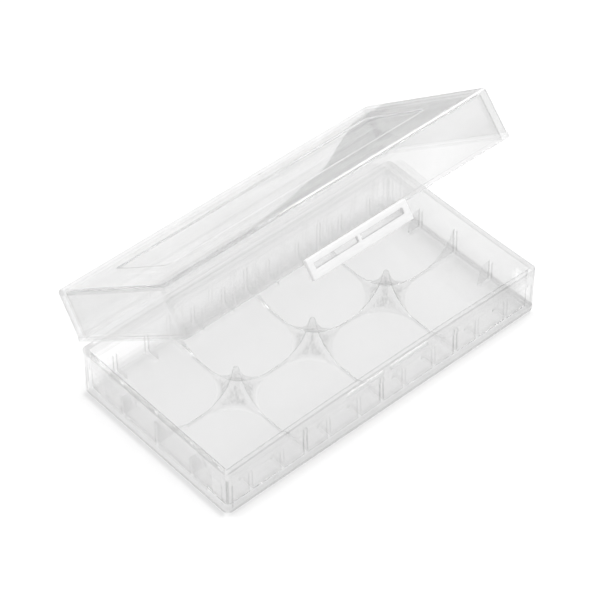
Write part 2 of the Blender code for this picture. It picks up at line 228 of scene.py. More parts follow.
tray = {
    "cellsAlong": 4,
    "ridgeHalfWidth": 0.2,
    "ridgeHeight": 0.3,
    "cellRadius": 9.225,  # of a cell with its play: posts and ribs are cut to this arc
    "postHalfCrest": 0.25,  # the posts' arc starts this far from the grid line
    "postHeight": 7.2,
    "postReach": 7.725,
    "legHalfWidth": 0.26,
    "legSteps": (0.04, 0.11, 0.22, 0.38, 0.6),  # extra grid lines beside a leg, where the dishes are steep
    "ribHalfWidth": 0.4,
    "ribHeight": 6.2,
    "ribReach": 6.725,
    "finHalfWidth": 0.4,
    "finHeight": 4.7,
    "finFlat": 1.5,
    "finReach": 3.1,
    "finSpacing": 7.4,
    "beadX": 5.35,
    "beadHalfLength": 4.55,
    "beadMiddle": 10.15,
    "beadHalfHeight": 0.45,
    "beadProud": 0.7,
    "finEndLines": (0.7, 0.4, 0.2, 0.08, 0.02, 0),  # grid lines before a fin's end, where its ellipse is steep
    "nearWallLine": 0.5,
}
cellPitch = 2 * innerX / tray["cellsAlong"]
gridXs = [(i - tray["cellsAlong"] / 2) * cellPitch for i in range(1, tray["cellsAlong"])]
finXs = [(i + 0.5 - tray["cellsAlong"] / 2) * cellPitch + side * tray["finSpacing"] / 2
         for i in range(tray["cellsAlong"]) for side in (-1, 1)]
endFinYs = [-innerY / 2, innerY / 2]


def cellArc(out, height, reach, start=0.0):
    # the arc of a cell beside a crest: radius minus the root of (radius squared minus (radius - out) squared)
    radius, out = tray["cellRadius"] - start, out - start
    arc = radius - np.sqrt(np.maximum(radius ** 2 - (radius - np.clip(out, 0, radius)) ** 2, 0))
    return np.where(out > reach - start, 0, np.minimum(arc, height))


def finProfile(out):
    # a flat top, then a quarter ellipse: height times the root of (1 - share squared)
    share = np.clip((out - tray["finFlat"]) / (tray["finReach"] - tray["finFlat"]), 0, 1)
    return tray["finHeight"] * np.sqrt(1 - share ** 2)


def standing(distance, half):
    # 1 on a plate, 0 beside it, with a narrow slope between
    return np.clip((half + case["draft"] - np.abs(distance)) / case["draft"], 0, 1)


def postHeight(x, y):
    # each level is what four round dishes leave between them: reach = u + sqrt(2 a b), a and b counted
    # from the legs' sides and u = a + b + the leg's half width
    half = tray["legHalfWidth"]
    a, b = np.abs(x) - half, np.abs(y) - half
    besideLegs = (a > 0) & (b > 0)
    reach = np.where(besideLegs, a + b + half + np.sqrt(2 * np.maximum(a * b, 0)), np.maximum(np.abs(x), np.abs(y)))
    return cellArc(reach, tray["postHeight"], tray["postReach"], tray["postHalfCrest"])


def trayFloor(x, y):
    # the highest of the fillet along the walls, the ridges, the posts, the ribs and the fins
    toWall = np.minimum(innerX - np.abs(x), innerY - np.abs(y))
    radius = case["filletRadius"]
    height = radius - np.sqrt(np.maximum(radius ** 2 - np.maximum(radius - toWall, 0) ** 2, 0))
    fromFront, fromEnd = innerY - np.abs(y), innerX - np.abs(x)
    ridge, ribSize = tray["ridgeHeight"], (tray["ribHeight"], tray["ribReach"])
    height = np.maximum(height, ridge * standing(y, tray["ridgeHalfWidth"]))
    height = np.maximum(height, cellArc(fromEnd, *ribSize) * standing(y, tray["ribHalfWidth"]))
    for endFinY in endFinYs:
        height = np.maximum(height, finProfile(fromEnd) * standing(y - endFinY, tray["finHalfWidth"]))
    for gridX in gridXs:
        height = np.maximum(height, ridge * standing(x - gridX, tray["ridgeHalfWidth"]))
        height = np.maximum(height, cellArc(fromFront, *ribSize) * standing(x - gridX, tray["ribHalfWidth"]))
        height = np.maximum(height, postHeight(x - gridX, y))
    for finX in finXs:
        height = np.maximum(height, finProfile(fromFront) * standing(x - finX, tray["finHalfWidth"]))
    return case["floor"] + height


def makeTray():
    # rows round the outer edge, up the outer wall, over the rim and down the inner wall, and then the floor's grid;
    # the beads are half ellipses along z, and the land is a step out at the back
    radius, rimRadius = case["edgeRadius"], case["rimRadius"]
    fillet = [case["filletRadius"] * share for share in case["filletShares"]]
    fromWall = [*fillet, tray["finFlat"], *(tray["finReach"] - d for d in tray["finEndLines"]),
                tray["nearWallLine"], tray["ribReach"], tray["ribReach"] + case["draft"]]
    half = [tray[name] for name in ("ridgeHalfWidth", "ribHalfWidth", "finHalfWidth")]
    legs = [tray["legHalfWidth"] + d for d in (0, *tray["legSteps"])]
    beadEnds = [side * (tray["beadX"] + end * tray["beadHalfLength"]) for side in (-1, 1) for end in (-1, 1)]
    xKept = [*cornerLines(innerX), *(side * (innerX - d) for side in (-1, 1) for d in fromWall),
             *edgeLines(*((x, half[0]) for x in gridXs), *((x, half[1]) for x in gridXs),
                        *((x, half[2]) for x in finXs)),
             *(x + side * leg for x in gridXs for side in (-1, 1) for leg in legs),
             *(value / outerOverInner for value in edgeLines(*((end, 0) for end in beadEnds))),
             *(side * value / outerOverInner for side in (-1, 1)
               for value in (case["landHalfLength"], case["landHalfLength"] + case["draft"]))]
    yKept = [*cornerLines(innerY), *(side * (innerY - d) for side in (-1, 1) for d in fromWall),
             *edgeLines((0, half[0]), (0, half[1]), *((y, half[2]) for y in endFinYs)),
             *(side * leg for side in (-1, 1) for leg in legs)]
    xs = spacedLines(-innerX, innerX, case["step"], xKept)
    ys = spacedLines(-innerY, innerY, case["step"], yKept)
    gridX, gridY = np.meshgrid(xs, ys)
    floor = trayFloor(gridX, gridY)
    loop = outline(xs, ys)
    turns, arc = quarterTurn(6), quarterTurn(4)
    landFoot = case["trayRim"] - case["landThickness"]
    beadLevels = tray["beadMiddle"] - tray["beadHalfHeight"] * np.cos(np.linspace(0, math.pi, 9))
    outerLevels = np.unique(np.round([*case["trayLevels"], landFoot - 2 * case["hair"], landFoot, *beadLevels], 4))
    insets = [*(radius * (1 - np.sin(turns))), *np.zeros(len(outerLevels)),
              *(rimRadius * (1 - np.cos(arc))), *(wall - rimRadius * (1 - np.sin(arc)))]
    levels = [*(radius * (1 - np.cos(turns))), *outerLevels,
              *(case["trayRim"] - rimRadius * (1 - np.sin(arc))),
              *(case["trayRim"] - rimRadius * (1 - np.cos(arc)))]
    outerCount = len(turns) + len(outerLevels) + len(arc)
    rows = wallRows(loop, insets, levels)
    side, along, level = sideOf(loop), np.abs(loop[:, 0]) * outerOverInner, rows[..., 2]
    isOuter = np.arange(len(rows))[:, None] < outerCount
    beadShape = np.sqrt(np.clip(1 - ((level - tray["beadMiddle"]) / tray["beadHalfHeight"]) ** 2, 0, 1))
    fromBead = np.abs(along - tray["beadX"])
    onBead = (side == 0) & isOuter & (fromBead <= tray["beadHalfLength"] + case["draft"] / 2)
    rows[..., 1] -= np.where(onBead, tray["beadProud"] * beadShape, 0)
    onLand = (side == 2) & isOuter & (level >= landFoot - case["hair"] / 10)
    onLand = onLand & (along <= case["landHalfLength"] + case["hair"])
    rows[..., 1] += np.where(onLand, case["landReach"], 0)
    foot = outlineValues(floor)
    start = rows[-1, :, 2]
    inner = np.stack([start + (foot - start) * share for share in case["wallShares"]])
    rows = np.concatenate([rows, wallRows(loop, [wall] * len(inner), inner)])
    topX, topY = roundPlan(gridX, gridY, innerX, innerY, case["innerCornerRadius"])
    top = np.stack([topX, topY, floor], -1)
    rows = drawnIn(rows, case["trayRim"], 0, case["endBow"])
    top = drawnIn(top, case["trayRim"], 0, case["endBow"])
    return shellPiece("trayShell", rows, top)


trayShell = makeTray()
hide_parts("tray")
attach(trayShell, "tray")
print("tray made:", len(trayShell.data.polygons), "faces")


lid = {
    "bandHeight": 0.9,
    "bandProud": 0.15,
    "draft": 0.3,  # how far the walls lean in at the top
    "notchHalfLength": 12.0,  # the band stops beside the latch
    "step": 0.6,
    "labelX": 0.4,
    "labelY": 0.5,
    "labelHalfLength": 30.3,
    "labelHalfWidth": 9.9,
    "labelRadius": 1.2,
    "labelDepth": 0.2,
    "labelSlope": 0.25,
    "labelShares": (0, 0.25, 0.5, 0.75, 1),
    "bandMiddle": 0.5,
}


def lidTopHeight(x, y):
    # a shallow rounded rectangle sunk into the top: with s the share of the slope's width inside its outline,
    # the depth is s squared times (3 - 2 s)
    u = np.abs(x - lid["labelX"]) - (lid["labelHalfLength"] - lid["labelRadius"])
    v = np.abs(y - lid["labelY"]) - (lid["labelHalfWidth"] - lid["labelRadius"])
    outside = np.hypot(np.maximum(u, 0), np.maximum(v, 0)) + np.minimum(np.maximum(u, v), 0) - lid["labelRadius"]
    share = np.clip(-outside / lid["labelSlope"], 0, 1)
    return case["lidTop"] - lid["labelDepth"] * share * share * (3 - 2 * share)


def makeLid():
    # rows from the ceiling down the inner wall, over the rim and band and up the outer wall, then the top's grid
    radius, rimRadius, fillet = case["edgeRadius"], case["rimRadius"], case["filletRadius"]
    slopes = [lid["labelSlope"] * share for share in lid["labelShares"]]
    lastHalfX, lastHalfY = caseX - radius, caseY - radius
    labelXs = [(lid["labelX"] + side * (lid["labelHalfLength"] - d)) * innerX / lastHalfX
               for side in (-1, 1) for d in slopes]
    labelYs = [(lid["labelY"] + side * (lid["labelHalfWidth"] - d)) * innerY / lastHalfY
               for side in (-1, 1) for d in slopes]
    notch = lid["notchHalfLength"]
    xKept = [*cornerLines(innerX), *labelXs, *(x / outerOverInner for x in edgeLines((0, notch))),
             *(side * value / outerOverInner for side in (-1, 1)
               for value in (case["landHalfLength"], case["landHalfLength"] + case["draft"]))]
    xs = spacedLines(-innerX, innerX, lid["step"], xKept)
    ys = spacedLines(-innerY, innerY, lid["step"], [*cornerLines(innerY), *labelYs])
    loop = outline(xs, ys)
    rim, top = case["lidRim"], case["lidTop"]
    ceiling = top - case["floor"]
    landTop = rim + case["landThickness"]
    bandTop = rim + lid["bandHeight"]
    turns, arc, edgeTurns = quarterTurn(5), quarterTurn(4), quarterTurn(6)
    innerLevels, outerLevels, proud = case["lidInnerLevels"], case["lidOuterLevels"], lid["bandProud"]
    insets = [*(wall + fillet * (1 - np.sin(turns))), *[wall] * len(innerLevels),
              *(wall - rimRadius * (1 - np.cos(arc))), *(rimRadius * (1 - np.sin(arc)) - proud),
              -proud, -proud, -proud, -proud / 2, 0, *[0] * len(outerLevels),
              *(radius * (1 - np.cos(edgeTurns)))]
    levels = [*(ceiling - fillet * (1 - np.cos(turns))), *innerLevels,
              *(rim + rimRadius * (1 - np.sin(arc))), *(rim + rimRadius * (1 - np.cos(arc))),
              rim + lid["bandMiddle"], landTop, landTop + 2 * case["hair"], bandTop, bandTop + 5 * case["hair"],
              *outerLevels, *(top - radius * (1 - np.sin(edgeTurns)))]
    rows = wallRows(loop, insets, levels)
    side, along, level = sideOf(loop), np.abs(loop[:, 0]) * outerOverInner, rows[..., 2]
    isOuter = np.arange(len(rows))[:, None] >= len(turns) + len(innerLevels) + len(arc)
    onNotch = (side == 0) & isOuter & (along < notch + case["hair"])
    rows[..., 1] = np.where(onNotch, np.maximum(rows[..., 1], -caseY), rows[..., 1])
    onLand = (side == 2) & isOuter & (level <= landTop + case["hair"] / 10)
    onLand = onLand & (along <= case["landHalfLength"] + case["hair"])
    rows[..., 1] += np.where(onLand, case["landReach"] - proud, 0)
    gridX, gridY = np.meshgrid(xs * lastHalfX / innerX, ys * lastHalfY / innerY)
    share = radius / wall
    lastRadius = case["cornerRadius"] + (case["innerCornerRadius"] - case["cornerRadius"]) * share
    topX, topY = roundPlan(gridX, gridY, lastHalfX, lastHalfY, lastRadius)
    topGrid = np.stack([topX, topY, lidTopHeight(gridX, gridY)], -1)

    def leanIn(points):
        # each side shrinks by the draft times the height's share
        lean = (points[:, 2:] - rim) / (top - rim) * lid["draft"]
        points[:, :2] *= 1 - lean / [caseX, caseY]
        return swungOpen(points)

    return shellPiece("lidShell", drawnIn(rows, rim, top, 0), drawnIn(topGrid, rim, top, 0), leanIn)


lidShell = makeLid()
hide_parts("lid")
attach(lidShell, "lid")
print("lid made:", len(lidShell.data.polygons), "faces")


latch = {
    "halfWidth": 11.7,
    "top": 11.9,
    "bottom": 7.9,
    "innerFace": -19.85,
    "thickness": 1.0,
    "slotX": 5.35,
    "slotHalfLength": 5.0,
    "slotMiddle": 10.15,
    "slotHalfHeight": 0.55,
    "edgeRadius": 0.22,
    "edgeSteps": 4,
    "edgeAngle": 40,
}


def makeLatch():
    # a flat grid with the slots' cells left out, given its thickness and rounded edges by modifiers
    slotEnds = [side * (latch["slotX"] + end * latch["slotHalfLength"]) for side in (-1, 1) for end in (-1, 1)]
    slotLow = latch["slotMiddle"] - latch["slotHalfHeight"]
    slotHigh = latch["slotMiddle"] + latch["slotHalfHeight"]
    xs = np.unique([-latch["halfWidth"], latch["halfWidth"], *slotEnds])
    zs = np.array([latch["bottom"], slotLow, slotHigh, latch["top"]])
    gridX, gridZ = np.meshgrid(xs, zs)
    middleY = latch["innerFace"] - latch["thickness"] / 2
    points = np.stack([gridX, np.full_like(gridX, middleY), gridZ], -1).reshape(-1, 3)
    faces = gridFaces(np.arange(gridX.size).reshape(gridX.shape))
    centre = points[faces].mean(axis=1)
    inSlot = ((np.abs(np.abs(centre[:, 0]) - latch["slotX"]) < latch["slotHalfLength"])
              & (np.abs(centre[:, 2] - latch["slotMiddle"]) < latch["slotHalfHeight"]))
    piece = meshPiece("latchFrame", swungOpen(points), faces[~inSlot])
    solidify = piece.modifiers.new("thickness", "SOLIDIFY")
    solidify.thickness = latch["thickness"] * mm
    solidify.offset = 0
    bevel = piece.modifiers.new("roundedEdges", "BEVEL")
    bevel.width = latch["edgeRadius"] * mm
    bevel.segments = latch["edgeSteps"]
    bevel.limit_method = "ANGLE"
    bevel.angle_limit = math.radians(latch["edgeAngle"])
    return piece


latchFrame = makeLatch()
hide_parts("latch_tongue")
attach(latchFrame, "latch_tongue")
print("latch tongue made:", len(latchFrame.data.polygons), "faces before its thickness")


hinge = {
    "halfLength": 34.9,
    "thickness": 0.35,
    "start": (-0.62, -0.70),  # from the fold line, out and up, on the tray's land
    "end": (-0.62, 0.20),  # the same on the lid's land, with the lid shut
    "bendReach": 1.4,
    "steps": 14,
    "linesAlong": 41,
}


def makeHinge():
    # a strip along a quadratic curve: (1-t)(1-t) start + 2t(1-t) bend + t t end, thickened to both sides
    c, s = math.cos(openTurn), math.sin(openTurn)
    half = openTurn / 2
    start = np.array(hinge["start"])
    end = np.array([c * hinge["end"][0] + s * hinge["end"][1], -s * hinge["end"][0] + c * hinge["end"][1]])
    bend = hinge["bendReach"] * np.array([math.cos(half), -math.sin(half)])
    t = np.linspace(0, 1, hinge["steps"] + 1)[:, None]
    path = (1 - t) ** 2 * start + 2 * t * (1 - t) * bend + t ** 2 * end
    xs = np.linspace(-hinge["halfLength"], hinge["halfLength"], hinge["linesAlong"])
    points = np.concatenate([np.repeat(path[:, None], len(xs), 1), np.zeros((len(path), len(xs), 1))], -1)
    acrossFold, upFold = points[..., 0] + fold[1], points[..., 1] + fold[2]
    points = np.stack([np.broadcast_to(xs, points.shape[:2]), acrossFold, upFold], -1)
    index = np.arange(len(path) * len(xs)).reshape(len(path), len(xs))
    piece = meshPiece("hingeStrip", points.reshape(-1, 3), gridFaces(index), sharpAngle=60)
    solidify = piece.modifiers.new("thickness", "SOLIDIFY")
    solidify.thickness = hinge["thickness"] * mm
    solidify.offset = 0
    return piece, path[0] + fold[1:], path[-1] + fold[1:]


hingeStrip, hingeStart, hingeEnd = makeHinge()
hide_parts("hinge_web")
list(hingeStart * mm)
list(hingeEnd * mm)
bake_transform(hingeStrip)
print("hinge strip made")


class Signal:
    # a number that varies over the surface; each operator adds one Math node
    def __init__(self, shader, socket):
        self.shader, self.socket = shader, socket

    def __add__(self, other):
        return self.shader.maths("ADD", self, other)

    def __sub__(self, other):
        return self.shader.maths("SUBTRACT", self, other)

    def __rsub__(self, other):
        return self.shader.maths("SUBTRACT", other, self)

    def __mul__(self, other):
        return self.shader.maths("MULTIPLY", self, other)

    def __truediv__(self, other):
        return self.shader.maths("DIVIDE", self, other)

    __radd__, __rmul__ = __add__, __mul__


class Shader:
    # one material's nodes, each made by node() from its type, settings and inputs
    def __init__(self, owner):
        owner.use_nodes = True
        self.owner, self.tree = owner, owner.node_tree
        self.tree.nodes.clear()

    def finished(self, **surfaces):
        self.node("OutputMaterial", inputs=surfaces)
        return self.owner

    def node(self, kind, settings=None, inputs=None, output=0):
        made = self.tree.nodes.new("ShaderNode" + kind)
        for name, value in (settings or {}).items():
            if name == "stops":
                while len(made.color_ramp.elements) < len(value):
                    made.color_ramp.elements.new(0.5)
                for element, (position, shade) in zip(made.color_ramp.elements, value):
                    element.position, element.color = position, (shade, shade, shade, 1)
            else:
                setattr(made, name, value)
        for name, value in (inputs or {}).items():
            if isinstance(value, Signal):
                self.tree.links.new(value.socket, made.inputs[name])
            else:
                made.inputs[name].default_value = value
        return Signal(self, made.outputs[output]) if made.outputs else None

    def maths(self, operation, *values):
        return self.node("Math", {"operation": operation}, dict(enumerate(values)))

    def noise(self, place, scale, detail=2.0):
        return self.node("TexNoise", inputs={"Vector": place, "Scale": scale, "Detail": detail})

    def lightPassing(self):
        # 1 for light on its way to another surface, which clear plastic doesn't hold back
        shadow = self.node("LightPath", output="Is Shadow Ray")
        soft = self.node("LightPath", output="Is Diffuse Ray")
        return self.maths("MAXIMUM", shadow, soft)

    def bySkin(self):
        # 1 for what is seen by reflection or through the plastic
        mirrored = self.node("LightPath", output="Is Glossy Ray")
        through = self.node("LightPath", output="Is Transmission Ray")
        return self.maths("MAXIMUM", mirrored, through)

    def spread(self, value, low, high, toLow=0.0, toHigh=1.0):
        # a straight ramp: toLow at low, toHigh at high, and level outside the two
        inputs = {"Value": value, "From Min": low, "From Max": high, "To Min": toLow, "To Max": toHigh}
        return self.node("MapRange", inputs=inputs)

    def place(self, shut=False):
        # the point in millimetres in the row frame, or in the lid's own frame as if the lid were shut
        here = self.node("TexCoord", output="Object")
        if not shut:
            return self.node("Mapping", {"vector_type": "POINT"}, {"Vector": here, "Scale": (1 / mm,) * 3})
        moved = self.node("VectorMath", {"operation": "SUBTRACT"}, {0: here, 1: tuple(fold * mm)})
        inputs = {"Vector": moved, "Rotation": (openTurn, 0, 0), "Scale": (1 / mm,) * 3, "Location": tuple(fold)}
        return self.node("Mapping", {"vector_type": "POINT"}, inputs)

    def facing(self, shut=False):
        # the sizes of the three parts of the face's direction, in the row frame or in the shut lid's
        normal = self.node("TexCoord", output="Normal")
        if shut:
            inputs = {"Vector": normal, "Rotation": (openTurn, 0, 0)}
            normal = self.node("Mapping", {"vector_type": "VECTOR"}, inputs)
        return self.parts(self.node("VectorMath", {"operation": "ABSOLUTE"}, {0: normal}))

    def leaning(self, upward):
        # 0 on level and upright faces and 1 where a rounded edge or a dish lies between the two:
        # 1 - the larger of the upward part and the root of (1 - its square)
        upright = self.maths("SQRT", 1 - upward * upward)
        return self.spread(self.maths("MAXIMUM", upward, upright), 0.97, 0.75)

    def parts(self, vector):
        return [self.node("SeparateXYZ", inputs={"Vector": vector}, output=axis) for axis in "XYZ"]

    def film(self, colour):
        # lets light straight through, tinted
        return self.node("BsdfTransparent", inputs={"Color": colour})

    def mixed(self, share, one, other):
        return self.node("MixShader", inputs={0: share, 1: one, 2: other})

    def largest(self, first, *others):
        for other in others:
            first = self.maths("MAXIMUM", first, other)
        return first

    def size(self, value):
        return self.maths("ABSOLUTE", value)

    def apart(self, u, v):
        return self.maths("SQRT", u * u + v * v)

    def within(self, value, low, high, blur=0.1):
        # 1 where the value lies between low and high, with soft ends
        return self.spread(value, low - blur, low + blur) * self.spread(value, high + blur, high - blur)

    def stretched(self, place, scale):
        return self.node("Mapping", {"vector_type": "POINT"}, {"Vector": place, "Scale": scale})


paint = {
    # the share of light that each painted shade takes away; the ring and dot are the moulding gate's own marks
    "leaning": 0.1, "posts": 0.2, "finFoot": 0.06, "crests": 0.04, "ridges": 0.1, "foot": 0.07, "roots": 0.2,
    "frontFinRoots": 0.1, "frontRibRoots": 0.25, "front": 0.022, "frontSide": 0.08, "edge": 0.15,
    "rimLines": 0.17, "rightRim": 0.1, "backCorner": 0.2, "rightCorner": 0.06, "lidLeaning": 0.12,
    "lidEdge": 0.16, "lidLines": 0.06, "lidCorner": 0.1, "lidDarkCorner": 0.12, "lidTop": 0.06,
    "lidFront": 0.06, "lidSide": 0.1, "lidEnd": 0.035, "lidEdgeTop": 0.13, "labelBack": 0.05, "labelEnd": 0.3,
    "ring": 0.1, "dot": 0.5,
    "block": 0.7,  # of the light that falls through the bottom edge onto the floor
    "floorBlock": 0.03,  # of the light that falls through the tray's floor
    # the share of light that passes straight on
    "quietFins": 0.92, "quietPlates": 0.5, "quietPosts": 0.75, "quietLand": 0.85, "quietCorner": 0.95,
    "quietLidCorner": 0.7, "quietRim": 0.85, "quietUnderRim": 0.85, "quietEdge": 0.97, "quietLow": 0.2,
    "quietBand": 0.5,
    # the share of painted highlight, in white
    "highlightEdge": 0.9, "highlightLabel": 0.35,
}
clearColour, blackColour = (1, 1, 1, 1), (0, 0, 0, 1)
plastic = {
    "colour": (0.95, 0.95, 0.95, 1),
    "haze": 5.0,  # absorption per metre of plastic
    "ior": 1.08, "glossIor": 1.45, "glossRoughness": 0.03, "clearness": 0.88,
    "straight": 0.3,  # share of the light that meets no surface at all, which softens every edge
    "bareColour": (0.94, 0.94, 0.94, 1), "trayRoughness": (0.04, 0.08), "lidRoughness": (0.03, 0.06),
    "trayPassing": (0.935, 0.935, 0.935, 1), "lidPassing": (0.985, 0.985, 0.985, 1), "trayWaviness": 0.04,
    "lidWaviness": 0.003,
    "noiseRange": (0.35, 0.65),  # where nearly all of a noise lies
    "cloud": (0.09, 3.0),  # scale and detail of each noise
    "slowWave": (0.16, 1.0), "slowShare": 0.7, "quickWave": (0.5, 2.0), "quickShare": 0.12,
    "highlightRoughness": 0.3, "frostShades": (0.94, 1.0), "frostClearness": 0.1, "frostRoughness": (0.35, 0.6),
    "frostPassing": (0.7, 0.7, 0.7, 1), "grain": (1.2, 4.0), "grainStretch": (0.25, 3.0, 3.0),
    "grainStrength": 0.35, "grainDepth": 0.1, "slotShade": 0.25, "slotMargin": 0.5, "slotEnd": (0.3, 0.5),
    "slotFacing": ((0.8, 0.6), (0.6, 0.3)),  # the ramps on the two upright directions
}
turned = (0.6, 0.8)  # the share of a direction from which a face counts as turned that way
rounded = (0.005, 0.04)  # the product of two directions from which a wall counts as a rounded corner


trayMarks = {
    # in millimetres: for a ramp, where it starts and is full, and then its least and most;
    # for a line or band, its two sides and its blur
    "bowFront": (-14.0, -19.0), "bowEnd": (32.0, 37.0), "inside": (-0.05, 0.05), "outer": (-0.9, -1.0),
    "foot": (4.5, 0.0),
    "footBackRate": 2.2,  # the shade along the back wall is this much narrower
    "footLevel": (1.5, 1.3), "rib": (8.5, 8.7), "rootLevels": (1.3, 7.3), "root": (0.0, 0.4),
    "frontRoot": (0.0, 0.45, 0.05), "crest": (0.4, 0.3), "crestEnd": (0.1, 0.3), "crestFoot": (0.9, 1.0),
    "ridgeTop": (1.3, 1.6), "back": (19.6, 19.4), "edge": (-0.2, 1.0), "rim": (10.5, 10.6),
    "outerRimLine": (-0.25, 0.02, 0.05), "innerRimLine": (-1.15, -0.85, 0.05), "rightRim": (0.2, 0.0),
    "backCornerX": (-35.0, -36.0), "backCornerY": (14.0, 17.0), "finRow": (14.8, 15.0), "finLevels": (1.2, 7.4),
    "rightPlates": (0.05, 7.0, 0.05), "rightPlateLevels": (1.3, 7.4), "leaning": (0.2, 0.5, 0.4, 1),
    "streakStretch": (1, 1, 0.15), "streakScale": 2.2, "streaks": (0.3, 0.7, 0.4, 1.5),
    "postAcross": (8.5, 8.0), "postAlong": (8.5, 9.0), "postFoot": (1.05, 1.7),
    "postCrest": (0.25, 0.9, 0.2, 1), "postLevel": (8.0, 5.0, 0.4, 1), "finFoot": (2.4, 2.0),
    "front": (0.05, -0.05), "frontLevels": (1.2, 10.4), "frontSide": (1.5, 1.2), "cornerTop": (10.6, 10.4),
    "land": (20.2, 20.4), "underRim": (7.0, 9.0), "underRimEnd": (1.0, 2.0), "block": (1.9, 1.3),
    "floorBlock": (1.6, 1.3),
}


def unbowed(shader, x, y, z):
    # undoes the bow of the front wall and of the right end: bow times (1 - share along squared) times height share
    height = z / case["trayRim"]
    along, across = x / caseX, y / caseY
    front = (1 - along * along) * height * shader.spread(y, *trayMarks["bowFront"]) * case["frontBow"]
    end = (1 - across * across) * height * shader.spread(x, *trayMarks["bowEnd"]) * case["endBow"]
    return x + end, y - front


def trayPaint(shader, place):
    # painted shade on leaning faces, posts and grid lines, at the feet of the walls and plates, on the rim and the
    # bottom edge
    spread, within, largest, size, at = shader.spread, shader.within, shader.largest, shader.size, trayMarks
    x, y, z = shader.parts(place)
    straightX, straightY = unbowed(shader, x, y, z)
    alongX, alongY, upward = shader.facing()
    fromEnd, fromBack = innerX - size(straightX), innerY - y
    fromFront, fromRight = innerY + straightY, innerX - straightX
    toWall = shader.maths("MINIMUM", fromEnd, innerY - size(straightY))
    inside, outer = spread(toWall, *at["inside"]), spread(toWall, *at["outer"])
    # painted shade on the floor, darker near the right and back walls
    foot = spread(shader.maths("MINIMUM", fromRight, fromBack * at["footBackRate"]), *at["foot"])
    foot = foot * inside * spread(z, *at["footLevel"])
    inBay = size(shader.maths("FLOORED_MODULO", x, cellPitch) - cellPitch / 2)
    turnedX, turnedY = spread(alongX, *turned), spread(alongY, *turned)
    # painted shade where the fins and ribs meet the walls
    roots = within(z, *at["rootLevels"]) * (
        within(fromEnd, *at["root"]) * turnedY * paint["roots"]
        + within(fromBack, *at["root"]) * turnedX * paint["roots"]
        + within(fromFront, *at["frontRoot"]) * turnedX
        * spread(spread(inBay, *at["rib"]), 0, 1, paint["frontFinRoots"], paint["frontRibRoots"]))
    toLine = shader.maths("MINIMUM", cellPitch / 2 - inBay, size(y))
    # painted shade along the crests of the ridges and plates
    crest = spread(toLine, *at["crest"]) * spread(toWall, *at["crestEnd"]) * spread(z, *at["crestFoot"])
    crest = crest * spread(z, *at["ridgeTop"], paint["ridges"], paint["crests"])
    shown = outer * spread(y, *at["back"])
    # a painted dark band along the bottom edge, left off at the back
    edge = within(z, *at["edge"]) * shown
    rim = spread(z, *at["rim"])
    # painted dark lines along the rim's two edges, and painted shade at its right end and back left corner
    rimLines = within(toWall, *at["outerRimLine"]) + within(toWall, *at["innerRimLine"])
    rightRim = rim * spread(fromRight, *at["rightRim"])
    backCorner = rim * spread(x, *at["backCornerX"]) * spread(y, *at["backCornerY"])
    fins = spread(size(y), *at["finRow"]) * within(z, *at["finLevels"])
    rightPlates = within(fromRight, *at["rightPlates"]) * within(z, *at["rightPlateLevels"])
    # painted shade on rounded edges and dishes
    leaning = shader.leaning(upward) * (1 - largest(fins, rightPlates)) * inside * spread(toLine, *at["leaning"])
    # painted shade on the posts' faces for their thickness and the way they bend light, broken into streaks by a
    # stretched noise
    streaks = spread(shader.noise(shader.stretched(place, at["streakStretch"]), at["streakScale"]), *at["streaks"])
    onPost = spread(size(y), *at["postAcross"]) * spread(fromEnd, *at["postAlong"]) * spread(z, *at["postFoot"])
    postShade = onPost * spread(toLine, *at["postCrest"]) * streaks * spread(z, *at["postLevel"])
    # the front wall painted a little darker, more at its right end
    front = spread(fromFront, *at["front"]) * within(z, *at["frontLevels"])
    front = front * spread(fromRight, *at["frontSide"], paint["front"], paint["frontSide"])
    corner = spread(alongX * alongY, *rounded) * spread(z, *at["cornerTop"])
    # the right rounded corner painted darker
    rightCorner = corner * spread(x, 0, 1)
    # all the painted shade together: the strongest mark wins
    shadeAndMarks = largest(leaning * paint["leaning"], foot * foot * paint["foot"], roots, crest,
                  postShade * paint["posts"], fins * spread(z, *at["finFoot"]) * paint["finFoot"], front,
                  edge * paint["edge"], rim * rimLines * paint["rimLines"], rightRim * paint["rightRim"],
                  backCorner * paint["backCorner"], rightCorner * paint["rightCorner"])
    underRim = spread(z, *at["underRim"]) * inside * spread(fromRight, *at["underRimEnd"])
    quiet = largest(fins * paint["quietFins"], spread(y, *at["land"]) * paint["quietLand"],
                    (corner - rightCorner) * paint["quietCorner"], underRim * paint["quietUnderRim"],
                    onPost * paint["quietPosts"], rightPlates * paint["quietPlates"],
                    (rim - rightRim) * paint["quietRim"])
    block = largest(spread(z, *at["block"]) * shown * paint["block"],
                    spread(z, *at["floorBlock"]) * paint["floorBlock"])
    return shadeAndMarks, quiet, None, block


lidMarks = {
    # as for the tray, with the lid shut
    "notBack": (19.0, 18.8), "top": (20.75, 20.85), "topFacing": (0.85, 0.95), "edge": (20.1, 21.2),
    "edgeFacing": (0.97, 0.9), "left": (-6, -18), "edgeTop": (-16.6, -17.2), "bandLine": (11.9, 12.1, 0.05),
    "rimLine": (10.9, 11.15, 0.05), "lineFacing": (0.8, 0.6), "lineEnd": (36.5, 36.0),
    "leanLevel": (19.0, 19.2), "leanGap": (19.4, 20.4), "labelLine": (-0.35, 0.1, 0.06),
    "labelInnerLine": (-1.1, -0.9, 0.06), "labelInnerShare": 0.5, "right": (8, 14), "labelEnd": (-28.5, -29.0),
    "ringPlace": (-12.9, -6.5), "ring": (0.5, 0.7, 0.06), "dotPlace": (8.0, 16.0), "dot": (0.4, 0.25),
    "light": (-19.2, -19.4), "lightLevel": (20.7, 20.8), "front": (-18.0, -18.5), "frontFade": (24, 10, 0.2, 1),
    "side": (35.4, 35.7), "leftEnd": (-36.0, -36.4), "land": (18.8, 19.0), "landLevel": (14.0, 13.0),
    "band": (11.9, 11.8), "bandEnd": (36.0, 36.5), "low": (16.0, 13.0),
}


